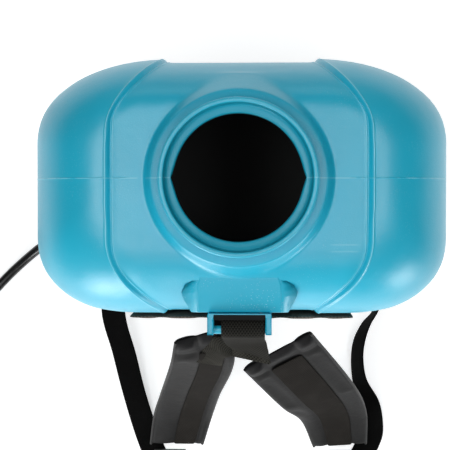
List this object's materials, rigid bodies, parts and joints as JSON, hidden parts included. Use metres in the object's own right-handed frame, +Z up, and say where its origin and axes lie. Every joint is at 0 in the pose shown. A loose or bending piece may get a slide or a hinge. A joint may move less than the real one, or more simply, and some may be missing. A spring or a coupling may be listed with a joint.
{
  "type": "knapsack sprayer",
  "caption": "Battery knapsack sprayer: wide-mouthed moulded tank with the cap off, padded shoulder straps, pump base, and a coiled hose with its lance alongside.",
  "frame": {"origin": "centre of the base's flat underside", "axes": "+Z up through the tank, +Y away from the wearer's back, +X towards the control panel"},
  "size_m": [0.688, 0.631, 0.462],
  "materials": {
    "tank_plastic": "blow-moulded HDPE, fine grain, soft sheen",
    "bracket_plastic": "injection-moulded, smooth satin",
    "black_plastic": "moulded, fine texture",
    "grey_plastic": "moulded, smooth",
    "webbing": "woven polypropylene webbing",
    "strap_webbing": "plain woven webbing",
    "pad_nylon": "coated nylon over foam",
    "back_mesh": "spacer mesh over foam",
    "rubber": "glossy black hose rubber",
    "seal_rubber": "matt",
    "steel": "zinc-plated or stainless",
    "brass": "machined",
    "motor_steel": "plated can",
    "copper": "windings and laminations",
    "cell_wrap": "shrink sleeve",
    "lens": "clear window",
    "orange_plastic": "moulded control"
  },
  "bodies": {
    "sprayer": {"tank": "tank_plastic", "outlet_filter": "grey_plastic", "outlet_fitting": "black_plastic", "outlet_seal": "seal_rubber", "outlet_nut": "black_plastic", "suction_hose": "rubber", "strap_bracket": "bracket_plastic", "bracket_screws": "steel", "yoke_webbing": "webbing", "back_pad": "back_mesh", "shoulder_pad_left": "pad_nylon", "shoulder_pad_right": "pad_nylon", "lower_strap_left": "strap_webbing", "lower_strap_right": "strap_webbing", "strap_buckles": "black_plastic", "base_housing": "black_plastic", "base_cover": "black_plastic", "base_screws": "steel", "battery_bay": "grey_plastic", "bay_terminals": "brass", "pump_head": "grey_plastic", "pump_diaphragm": "seal_rubber", "motor_can": "motor_steel", "motor_bearings": "brass", "pressure_switch": "black_plastic", "pump_mounts": "seal_rubber", "hose_gland": "black_plastic", "gland_nut": "black_plastic", "delivery_hose": "rubber", "control_panel": "grey_plastic", "switch_body": "black_plastic", "speed_control": "grey_plastic", "gauge_lens": "lens", "charging_socket": "black_plastic", "hose_lead": "rubber", "hose_coil": "rubber", "hose_tail": "rubber", "grip_shell_lower": "black_plastic", "grip_shell_upper": "black_plastic", "grip_screws": "steel", "valve_body": "brass", "trigger_pin": "steel", "hose_nut": "black_plastic", "lance_nut": "black_plastic", "lance_outer": "steel"},
    "battery": {"battery_case": "grey_plastic", "battery_cells": "cell_wrap"},
    "battery_button": {"battery_latch": "orange_plastic"},
    "rotor": {"motor_rotor": "copper", "drive_eccentric": "brass"},
    "rocker": {"rocker_switch": "orange_plastic"},
    "knob": {"pressure_knob": "black_plastic"},
    "flap": {"socket_flap": "seal_rubber"},
    "trigger": {"trigger": "orange_plastic"},
    "stem": {"valve_stem": "steel"},
    "lock": {"trigger_lock": "orange_plastic"},
    "lance": {"lance_inner": "steel", "nozzle_body": "brass"},
    "collet": {"lance_collet": "black_plastic"},
    "nozzle": {"nozzle_cap": "black_plastic"}
  },
  "joints": [
    {"name": "battery_slide", "type": "slide", "parent": "sprayer", "child": "battery", "axis": [0, 1, 0], "range_m": [0, 0.16]},
    {"name": "battery_latch_press", "type": "slide", "parent": "battery", "child": "battery_button", "axis": [0, 0, -1], "range_m": [0, 0.003], "stiffness_N_per_m": 400, "springref_m": -0.002},
    {"name": "motor_spin", "type": "hinge", "parent": "sprayer", "child": "rotor", "pos_m": [-0.095, 0, 0.042], "axis": [0, 1, 0], "continuous": true},
    {"name": "power_rocker", "type": "hinge", "parent": "sprayer", "child": "rocker", "pos_m": [0.172, -0.018, 0.088], "axis": [0, 1, 0], "range_deg": [0, 14]},
    {"name": "pressure_dial", "type": "hinge", "parent": "sprayer", "child": "knob", "pos_m": [0.18, -0.018, 0.058], "axis": [1, 0, 0], "range_deg": [-270, 0]},
    {"name": "socket_flap_hinge", "type": "hinge", "parent": "sprayer", "child": "flap", "pos_m": [0.1769, 0.018, 0.07], "axis": [0, -1, 0], "range_deg": [0, 120]},
    {"name": "trigger_pull", "type": "hinge", "parent": "sprayer", "child": "trigger", "pos_m": [-0.4785, -0.072, 0.0175], "axis": [0, 0, 1], "range_deg": [0, 7], "stiffness_Nm_per_rad": 4, "springref_deg": -8.59},
    {"name": "valve_stem_slide", "type": "slide", "parent": "sprayer", "child": "stem", "axis": [1, 0, 0], "range_m": [0, 0.0033]},
    {"name": "trigger_lock_slide", "type": "slide", "parent": "sprayer", "child": "lock", "axis": [0, -1, 0], "range_m": [0, 0.016]},
    {"name": "lance_extend", "type": "slide", "parent": "sprayer", "child": "lance", "axis": [0, 1, 0], "range_m": [0, 0.22]},
    {"name": "collet_twist", "type": "hinge", "parent": "sprayer", "child": "collet", "pos_m": [-0.4655, 0.23, 0.0175], "axis": [0, 1, 0], "range_deg": [0, 90]},
    {"name": "nozzle_twist", "type": "hinge", "parent": "lance", "child": "nozzle", "pos_m": [-0.4655, 0.27, 0.0175], "axis": [0, 1, 0], "range_deg": [0, 540]}
  ],
  "couplings": [
    {"joint": "valve_stem_slide", "follows": "trigger_pull", "m_per_rad": 0.025}
  ]
}
